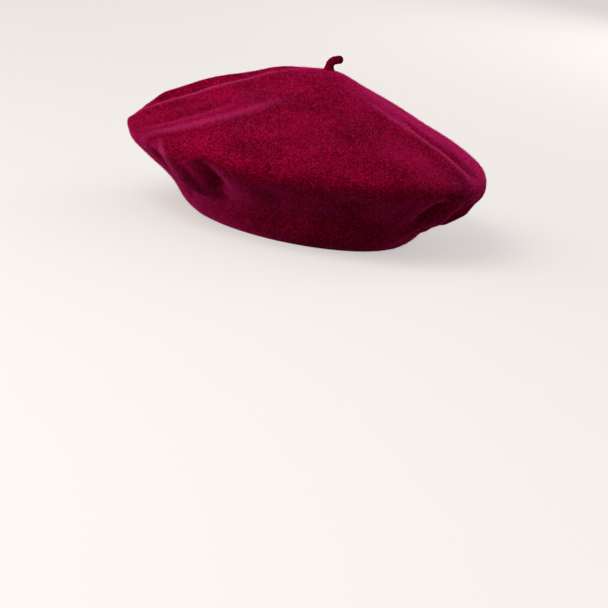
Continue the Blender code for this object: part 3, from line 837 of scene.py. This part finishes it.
def makeKnot():
    bm = bmesh.new()
    halfIn = bow["pinch"] + bow["ribbon"] + inside["touchGap"] + bow["knotWall"]
    halfUp = bow["width"] / 2 + inside["touchGap"] + bow["knotWall"]
    points = []
    for k in range(bow["knotTurns"]):
        turn = 2 * math.pi * k / bow["knotTurns"]
        c, s = math.cos(turn), math.sin(turn)
        points.append((-bow["knotWidth"] / 2, bowCentre + math.copysign(abs(c) ** 0.5, c) * halfIn,
                       math.copysign(abs(s) ** 0.4, s) * halfUp))
    edges = drawLine(bm, points, closed=True)
    extrudeLoop(bm, edges, [(bow["knotWidth"] / bow["knotRows"], 0, 0)] * bow["knotRows"])
    for vert in bm.verts:
        # gathered into soft pleats, slimmer at the waist
        share = vert.co.x / bow["knotWidth"] * 2
        pleat = bow["pleat"] * math.cos(share * math.pi * 3)
        vert.co.z *= 1 - bow["knotWaist"] * (1 - share ** 2) * 0.5
        vert.co.y = bowCentre + (vert.co.y - bowCentre) * (1 + pleat / halfIn)
    settle(bm, bandSpot(inside["backBearing"], bow["height"]))
    piece = finishPiece("bow_knot_wrap", bm, bowRibbonCloth, "bow_knot")
    weaveMap(piece, lambda co: co.z, lambda co: co.x)
    addModifier(piece, "wall", "SOLIDIFY", thickness=bow["knotWall"] * 0.8, offset=-1.0)
    addModifier(piece, "round", "SUBSURF", levels=1, render_levels=1)


# Care label: satin ribbon folded in two, hanging from a tack along its upper edge
care = {
    "bearing": 20.0,
    "width": 15.0 * mm,
    "length": 19.0 * mm,
    "leaf": 0.3 * mm,
    "leafGap": 0.3 * mm,
    "drop": 2.4 * mm,
    "tackRise": 0.7 * mm,
    "bendFrom": 0.3 * mm,
    "bendTo": 3.6 * mm,
    "belly": 0.35 * mm,
    "rows": 14,
    "columns": 12,
    "foldSteps": 8,
    "tacks": 7,
    "tackMargin": 1.0 * mm,
    "tackThread": 0.8 * inside["threadRadius"],
}
careSpace = (2 * inside["threadRadius"] + 2 * inside["touchGap"]
             + care["width"] ** 2 / 8 / (cap["hemHalfWidth"] - bandInner))
careSpot = bandSpot(care["bearing"], bandTop - care["drop"])


def makeCareLabel():
    bm = bmesh.new()
    nose = (care["leafGap"] + care["leaf"]) / 2
    bottom = -(care["length"] - nose - care["leaf"] / 2)
    rows = care["rows"]
    points = [(0, careSpace + care["leaf"] / 2, bottom * k / rows) for k in range(rows + 1)]
    middle = careSpace + care["leaf"] / 2 + nose
    for k in range(1, care["foldSteps"]):
        turn = math.pi * k / care["foldSteps"]
        points.append((0, middle - nose * math.cos(turn), bottom - nose * math.sin(turn)))
    points += [(0, middle + nose, bottom * k / rows) for k in reversed(range(rows + 1))]
    edges = drawLine(bm, points)
    bmesh.ops.translate(bm, vec=(-care["width"] / 2, 0, 0), verts=bm.verts)
    extrudeLoop(bm, edges, [(care["width"] / care["columns"], 0, 0)] * care["columns"])
    for vert in bm.verts:
        # soft belly down the label, and corners that turn a little inward
        down = vert.co.z / bottom
        across = vert.co.x / care["width"] * 2
        vert.co.y += care["belly"] * (math.sin(down * math.pi) + 0.6 * down ** 2 * across ** 2)
    settle(bm, careSpot)
    piece = finishPiece("care_label_ribbon", bm, labelCloth, "care_label", None)
    along = careSpot.col[0].xyz
    weaveMap(piece, lambda co: (co - careSpot.translation).dot(along), lambda co: co.z)
    addModifier(piece, "wall", "SOLIDIFY", thickness=care["leaf"], offset=0.0)
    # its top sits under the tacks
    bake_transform(piece)


def makeCareTacks():
    places = []
    thread = inside["threadRadius"]
    foot = inside["touchGap"] + thread
    out = careSpot.col[1].xyz
    step = (care["width"] - 2 * care["tackMargin"]) / care["tacks"]
    for k in range(care["tacks"]):
        x = -care["width"] / 2 + care["tackMargin"] + step * (k + 0.5)
        low = careSpot @ Vector((x - step * 0.25, careSpace + care["leaf"] * 1.5, foot))
        high = careSpot @ Vector((x + step * 0.25, thread, foot + care["tackRise"] * 1.6))
        places.append(stitchAt(low, high, out, care["tackThread"]))
    end = care["width"] / 2 - care["tackMargin"]
    left, right = (careSpot @ Vector((x, careSpace * 0.6, foot)) for x in (-end, end))
    places.append(stitchAt(left, right, out, care["tackThread"]))
    sewStitches("care_label_tacks", places, paleThread, "care_label_tack")


# Size tag, sewn flat to the band all round
sizeTag = {
    "bearing": 160.0,
    "width": 12.0 * mm,
    "length": 10.0 * mm,
    "thickness": 0.4 * mm,
    "raise": 1.5 * mm,
    "puff": 0.12 * mm,
    "border": 1.0 * mm,
    "stitchesAcross": 5,
    "stitchesUp": 4,
    "stitchShare": (0.18, 0.82),
}


def onCurve(x):
    # how far the band's inner face comes forward beside the middle of a tag
    return x * x / 2 / (cap["hemHalfWidth"] - bandInner)


def makeSizeTag():
    middle = inside["bandLift"] + inside["bandHeight"] / 2 + sizeTag["raise"]
    spot = bandSpot(sizeTag["bearing"], middle)
    bm = bmesh.new()
    bmesh.ops.create_grid(bm, x_segments=16, y_segments=14, size=0.5)
    for vert in bm.verts:
        x, z = vert.co.x * sizeTag["width"], vert.co.y * sizeTag["length"]
        edge = max(abs(vert.co.x), abs(vert.co.y)) * 2
        puff = sizeTag["puff"] * math.cos(min(1.0, edge) * math.pi / 2)
        vert.co = (x, inside["touchGap"] + onCurve(x) + sizeTag["thickness"] + puff, z)
    bmesh.ops.transform(bm, matrix=spot, verts=bm.verts)
    first = next(iter(bm.faces))
    first.normal_update()
    if first.normal.dot(spot.col[1].xyz) < 0:
        bmesh.ops.reverse_faces(bm, faces=bm.faces)
    tag = finishPiece("size_tag_cloth", bm, labelCloth, "size_tag")
    along = spot.col[0].xyz
    weaveMap(tag, lambda co: (co - spot.translation).dot(along), lambda co: co.z)
    addModifier(tag, "wall", "SOLIDIFY", thickness=sizeTag["thickness"], offset=-1.0)
    places = []
    thread = inside["threadRadius"] * 0.8
    halfX = sizeTag["width"] / 2 - sizeTag["border"]
    halfZ = sizeTag["length"] / 2 - sizeTag["border"]
    sides = (((-halfX, -halfZ), (halfX, -halfZ), sizeTag["stitchesAcross"]),
             ((halfX, -halfZ), (halfX, halfZ), sizeTag["stitchesUp"]),
             ((halfX, halfZ), (-halfX, halfZ), sizeTag["stitchesAcross"]),
             ((-halfX, halfZ), (-halfX, -halfZ), sizeTag["stitchesUp"]))
    for (x0, z0), (x1, z1), count in sides:
        for k in range(count):
            ends = []
            for within in sizeTag["stitchShare"]:
                share = (k + within) / count
                x = x0 + (x1 - x0) * share
                z = z0 + (z1 - z0) * share
                lift = inside["touchGap"] + onCurve(x) + sizeTag["thickness"] + thread * 0.8
                ends.append(spot @ Vector((x, lift, z)))
            places.append(stitchAt(ends[0], ends[1], spot.col[1].xyz, thread))
    sewStitches("size_tag_stitches", places, paleThread, "size_tag_stitching")


makeHemStitches()
makeBand()
makeBandStitches()
makeJoinStitches()
makeBow()
makeKnot()
makeCareLabel()
makeCareTacks()
makeSizeTag()
print("band, bow and labels made")


# Stay tape inside the hem keeps its solid and takes a twisted-thread finish
def dressTape():
    tape = nodes["stay_tape"]
    tape.data.materials.clear()
    tape.data.materials.append(tapeSolid)


# Stalk at the crown, with the felted yarn ends that hold it underneath
stalk = {
    "radius": 3.0 * mm,
    "plump": 3.3 * mm,
    "reach": 7.4 * mm,
    "rise": 9.0 * mm,
    "gap": 0.3 * mm,
    "segments": 32,
    # how the middle line leans: shares of the reach and of the rise
    "bend": ((0.02, 0.0), (0.06, 0.22), (0.18, 0.48), (0.40, 0.70), (0.68, 0.84), (0.97, 0.93)),
    # flare at the foot: height above the crown and radius
    "flare": ((-2.6, 6.6), (-1.4, 5.6), (-0.6, 4.9), (0.2, 4.35), (1.1, 3.95), (2.1, 3.65)),
    "lump": 0.07 * mm,
    "tipSteps": 9,
    "tipTurn": 8.4,
    "tipReach": 0.92,
    "flangeRadius": 4.7 * mm,
    "flangeHeight": 1.3 * mm,
    "flangeDrop": 3.6 * mm,
    "yarnEnds": 11,
    "groove": 0.07,
    "ridge": 0.25,
    "tacks": 12,
    # each tack runs from inside the plug's edge to just outside it, this far across and up
    "tackFrom": (-1.1 * mm, -0.62 * mm),
    "tackTo": (0.9 * mm, 0.9 * mm),
}
leanAngle = math.radians(cap["leanBearing"])
leanWay = Vector((math.cos(leanAngle), math.sin(leanAngle), 0))
crownTop = leanWay * cap["lean"] + Vector((0, 0, cap["crownHeight"]))


def stalkLine():
    # middle points, directions and radii from the foot to the rounded tip
    line = [(Vector((0, 0, z * mm)), r * mm) for z, r in stalk["flare"]]
    foot = stalk["gap"] + stalk["radius"]
    for u, v in splinePoints(stalk["bend"], 6)[3:]:
        height = foot + v * (stalk["rise"] - stalk["radius"])
        line.append((Vector((u * stalk["reach"], 0, height)), stalk["plump"]))
    way = (line[-1][0] - line[-2][0]).normalized()
    end = line[-1][0]
    for k in range(1, stalk["tipSteps"]):
        turn = math.pi / 2 * k / stalk["tipTurn"]
        centre = end + way * stalk["plump"] * stalk["tipReach"] * math.sin(turn)
        line.append((centre, stalk["plump"] * math.cos(turn)))
    return line


def makeStalk():
    bm = bmesh.new()
    line = stalkLine()
    ring = bmesh.ops.create_circle(bm, segments=stalk["segments"], radius=1.0)["verts"]
    base = [v.co.copy() for v in ring]
    edges = list(bm.edges)
    for k, (centre, radius) in enumerate(line):
        before = line[max(k - 1, 0)][0]
        after = line[min(k + 1, len(line) - 1)][0]
        way = (after - before).normalized()
        side = Vector((0, 1, 0))
        out = side.cross(way)
        if k:
            made = bmesh.ops.extrude_edge_only(bm, edges=edges)["geom"]
            fresh = [g for g in made if isinstance(g, bmesh.types.BMVert)]
            edges = [g for g in made if isinstance(g, bmesh.types.BMEdge)]
            # the new ring keeps the old ring's places, so each vertex is matched by them
            order = {tuple(round(c, 7) for c in v.co): i for i, v in enumerate(ring)}
            fresh.sort(key=lambda v: order[tuple(round(c, 7) for c in v.co)])
            ring = fresh
        for vert, unit in zip(ring, base):
            turn = math.atan2(unit.y, unit.x)
            waves = math.sin(turn * 3 + k * 0.55) + math.sin(turn * 5 - k * 0.9)
            lump = stalk["lump"] * waves * min(1, k / 5)
            wide = radius + lump * radius / stalk["radius"]
            vert.co = centre + (out * unit.x + side * unit.y) * wide
    bmesh.ops.contextual_create(bm, geom=edges)
    up = Vector((0, 0, 1))
    place = spotAt(leanWay, up.cross(leanWay), up, crownTop)
    bmesh.ops.transform(bm, matrix=place, verts=bm.verts)
    boundary = [e for e in bm.edges if e.is_boundary]
    bmesh.ops.contextual_create(bm, geom=boundary)
    bmesh.ops.recalc_face_normals(bm, faces=bm.faces)
    piece = finishPiece("stalk_felt", bm, stalkFelt, "stalk", None)
    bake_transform(piece)


def makeStalkRoot():
    bm = bmesh.new()
    bmesh.ops.create_uvsphere(bm, u_segments=64, v_segments=20, radius=1.0)
    middle = crownTop - Vector((0, 0, stalk["flangeDrop"]))
    for vert in bm.verts:
        # yarn ends show as ridges and grooves that fade toward the middle
        level = math.hypot(vert.co.x, vert.co.y)
        wave = math.cos(math.atan2(vert.co.y, vert.co.x) * stalk["yarnEnds"] + vert.co.z * 2) * level
        wide = (1 + stalk["groove"] * wave) * stalk["flangeRadius"]
        dome = 1 + stalk["ridge"] * wave * (1 - level)
        vert.co = (vert.co.x * wide, vert.co.y * wide, vert.co.z * dome * stalk["flangeHeight"] / 2)
    bmesh.ops.translate(bm, vec=middle, verts=bm.verts)
    finishPiece("stalk_yarn_ends", bm, stalkFelt, "stalk_root")
    places = []
    for k in range(stalk["tacks"]):
        turn = 2 * math.pi * k / stalk["tacks"]
        way = Vector((math.cos(turn), math.sin(turn), 0))
        near, far = (middle + way * (stalk["flangeRadius"] + across) + Vector((0, 0, up))
                     for across, up in (stalk["tackFrom"], stalk["tackTo"]))
        places.append(stitchAt(near, far, (0, 0, -1), inside["threadRadius"] * 0.8))
    sewStitches("stalk_root_tacks", places, woolThread, "root_stitching")


# Loose fibres of the brushed nap, standing off the felt
nap = {
    "crownCount": 44000,
    "brimCount": 26000,
    "shortest": 0.7 * mm,
    "longest": 1.9 * mm,
    "strayShare": 0.012,
    "strayLonger": 2.0,
    "radius": 0.075 * mm,
    "sink": 0.15 * mm,
    "lowTilt": 8.0,
    "highTilt": 70.0,
    "seed": 7,
}


def fibrePlaces(points, normals, rng):
    # a place for one needle at every point, tipped away from the surface's own direction
    count = len(points)
    side = np.cross(normals, rng.normal(size=(count, 3)))
    side /= np.linalg.norm(side, axis=1)[:, None]
    tilt = np.radians(rng.uniform(nap["lowTilt"], nap["highTilt"], count))[:, None]
    way = normals * np.cos(tilt) + side * np.sin(tilt)
    across = np.cross(way, normals)
    across /= np.linalg.norm(across, axis=1)[:, None]
    length = rng.uniform(nap["shortest"], nap["longest"], count)
    length = np.where(rng.random(count) < nap["strayShare"], length * nap["strayLonger"], length)
    places = np.zeros((count, 4, 4))
    places[:, :3, 0] = across * nap["radius"]
    places[:, :3, 1] = np.cross(way, across) * nap["radius"]
    places[:, :3, 2] = way * length[:, None]
    places[:, :3, 3] = points - normals * nap["sink"]
    places[:, 3, 3] = 1
    return places


def needleMesh(places):
    # three-sided needle of unit length standing on its base
    bm = bmesh.new()
    bmesh.ops.create_cone(bm, cap_ends=True, segments=3, radius1=1.0, radius2=0.0, depth=1.0)
    bmesh.ops.remove_doubles(bm, verts=bm.verts, dist=0.001)
    bmesh.ops.translate(bm, vec=(0, 0, 0.5), verts=bm.verts)
    bmesh.ops.triangulate(bm, faces=bm.faces)
    mesh = repeatShape(bm, places)
    # each needle has a cell of its own in the OFBake map
    corners = len(mesh.loops) // len(places)
    cells = math.ceil(math.sqrt(len(places)))
    index = np.arange(len(places))
    near, far = 0.05, 0.40
    within = np.array([[k // 3 % 2 * 0.5 + (near, far, near)[k % 3],
                        k // 6 * 0.5 + (near, near, far)[k % 3]] for k in range(corners)])
    cell = np.stack([index % cells, index // cells], 1)[:, None, :]
    layer = mesh.uv_layers.new(name="OFBake")
    layer.uv.foreach_set("vector", ((cell + within[None]) / cells).astype(np.float32).ravel())
    return mesh


def makeNap():
    rng = np.random.default_rng(nap["seed"])
    for name, count, low, high in (("nap_crown", nap["crownCount"], 0.0, rimShare),
                                   ("nap_brim", nap["brimCount"], rimShare, 0.995)):
        # shares are drawn so that every square of felt gets the same number
        grid = np.linspace(low, high, 400)
        ring = np.interp(grid, profileShare, profileCurve[:, 0])
        total = np.r_[0, np.cumsum((ring[1:] + ring[:-1]) / 2)]
        s = np.interp(rng.random(count) * total[-1], total, grid)
        bearing = rng.random(count) * 360.0
        places = fibrePlaces(feltPoints(bearing, s), feltNormals(bearing, s), rng)
        piece = addObject(name, needleMesh(places), fibreWool)
        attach(piece, "cap")


def makeFibreWool():
    # painted glow: the fibres give off a faint pink light of their own, as backlit single fibres seem to
    material, tree, shader = newMaterial("fibreWool")
    tone = noiseAt(tree, objectPlace(tree), 900.0, 2.0)
    stops = ((0.35, (0.38, 0.004, 0.060)), (0.5, (0.60, 0.018, 0.150)), (0.65, (0.84, 0.075, 0.300)))
    feed(tree, shader, {
        "Base Color": rampFrom(tree, tone, stops),
        # painted glow: a faint pink emission, though the fibre is no lamp
        "Emission Color": (0.85, 0.070, 0.280, 1.0),
        "Emission Strength": 0.13,
        "Roughness": 0.8,
        "Specular IOR Level": 0.1,
        "Sheen Weight": 0.4,
        "Sheen Tint": feltFinish["sheenTint"],
    })
    return material


fibreWool = makeFibreWool()
tapeSolid = makeThread("tapeSolid", (0.06, 0.0022, 0.010), 900.0)
stalkFelt = makeFelt("stalkFelt", feltFinish, 0.72)
dressTape()
makeStalk()
makeStalkRoot()
print("stalk made")
makeNap()
print("nap made")


# Floor, lights and camera

view = {
    "distance": 2.0,
    "roll": 8.9,
    "pitch": 12.33,
    "turn": 155.0,
    "across": -0.0052,
    "up": 0.0654,
    "lens": 148.03,
}


def wornPlace():
    # how the cap sits in front of the camera, tilted as on a head
    return (Matrix.Translation((view["across"], view["distance"], view["up"]))
            @ Matrix.Rotation(math.radians(view["roll"]), 4, "Y")
            @ Matrix.Rotation(math.radians(view["pitch"]), 4, "X")
            @ Matrix.Rotation(math.radians(-view["turn"]), 4, "Z"))


fromCamera = wornPlace().inverted()


def addCamera():
    data = bpy.data.cameras.new("camera")
    data.lens = view["lens"]
    data.sensor_width = 36.0
    data.clip_end = 200.0
    camera = addLinked("camera", data)
    camera.matrix_world = fromCamera @ Matrix.Rotation(math.radians(90), 4, "X")
    bpy.context.scene.camera = camera


# places are as seen by the camera: across, away, up from it, in metres
lightAim = (0, 2.0, 0.1)
lights = {
    "key": {"at": (-0.8, 0.65, 1.3), "size": 1.4, "power": 25.0, "colour": (1.0, 0.97, 0.95)},
    "fill": {"at": (-0.9, -0.2, 0.7), "size": 1.2, "power": 4.0, "colour": (1.0, 0.96, 0.94)},
    "left": {"at": (-2.0, 2.2, 0.25), "size": 1.0, "power": 40.0, "colour": (1.0, 0.96, 0.94)},
    "back": {"at": (1.2, 3.6, 1.1), "size": 1.2, "power": 14.0, "colour": (1.0, 0.98, 0.97)},
}


def addLights():
    aim = fromCamera @ Vector(lightAim)
    for name, values in lights.items():
        data = bpy.data.lights.new(name, "AREA")
        data.shape = "SQUARE"
        data.size = values["size"]
        data.energy = values["power"]
        data.color = values["colour"]
        at = fromCamera @ Vector(values["at"])
        turn = (aim - at).to_track_quat("-Z", "Y").to_matrix().to_4x4()
        addLinked(name, data).matrix_world = Matrix.Translation(at) @ turn


# a small lamp inside the crown, so the band and labels can be seen from below
innerLamp = {"height": 34.0 * mm, "radius": 12.0 * mm, "power": 0.2}


def addInnerLamp():
    data = bpy.data.lights.new("inner", "POINT")
    data.energy = innerLamp["power"]
    data.shadow_soft_size = innerLamp["radius"]
    lamp = addLinked("inner", data)
    lamp.location = (0, 0, innerLamp["height"])
    lamp.visible_camera = False


studio = {
    "air": (1.0, 0.965, 0.945, 1.0),
    "airStrength": 0.35,
    "floorSeen": (0.45, 0.435, 0.425, 1.0),
    "floorBounce": (0.22, 0.21, 0.205, 1.0),
    "floorGlow": (1.0, 0.955, 0.93, 1.0),
    "glowStrength": 0.52,
    "floorRadius": 30.0,
    "floorDrop": 0.1 * mm,
}


def addStage():
    world = bpy.data.worlds.new("studio")
    bpy.context.scene.world = world
    world.use_nodes = True
    feed(world.node_tree, world.node_tree.nodes["Background"],
         {"Color": studio["air"], "Strength": studio["airStrength"]})
    material, tree, shader = newMaterial("paleFloor")
    # the floor looks pale but throws little light up under the brim
    seen = addNode(tree, "ShaderNodeLightPath").outputs["Is Camera Ray"]
    pale = addNode(tree, "ShaderNodeMixRGB", Fac=seen, Color1=studio["floorBounce"],
                   Color2=studio["floorSeen"])
    feed(tree, shader, {
        "Base Color": pale.outputs["Color"],
        "Roughness": 1.0,
        "Specular IOR Level": 0.0,
        "Emission Color": studio["floorGlow"],
        "Emission Strength": mathNode(tree, "MULTIPLY", seen, studio["glowStrength"]),
    })
    # and it has only an upper face, so the opening can be looked at from below
    below = addNode(tree, "ShaderNodeNewGeometry").outputs["Backfacing"]
    clear = addNode(tree, "ShaderNodeBsdfTransparent").outputs["BSDF"]
    sides = addNode(tree, "ShaderNodeMixShader")
    feed(tree, sides, {0: below, 1: shader.outputs["BSDF"], 2: clear})
    feed(tree, tree.nodes["Material Output"], {"Surface": sides.outputs["Shader"]})
    bm = bmesh.new()
    bmesh.ops.create_circle(bm, cap_ends=True, segments=96, radius=studio["floorRadius"])
    floor = addObject("floor", bm, material)
    floor.data.transform(Matrix.Translation((0, 0, -studio["floorDrop"])))


addCamera()
addLights()
addInnerLamp()
addStage()
bpy.context.scene.view_settings.view_transform = "Standard"
bpy.context.scene.view_settings.look = "None"
print("stage set")
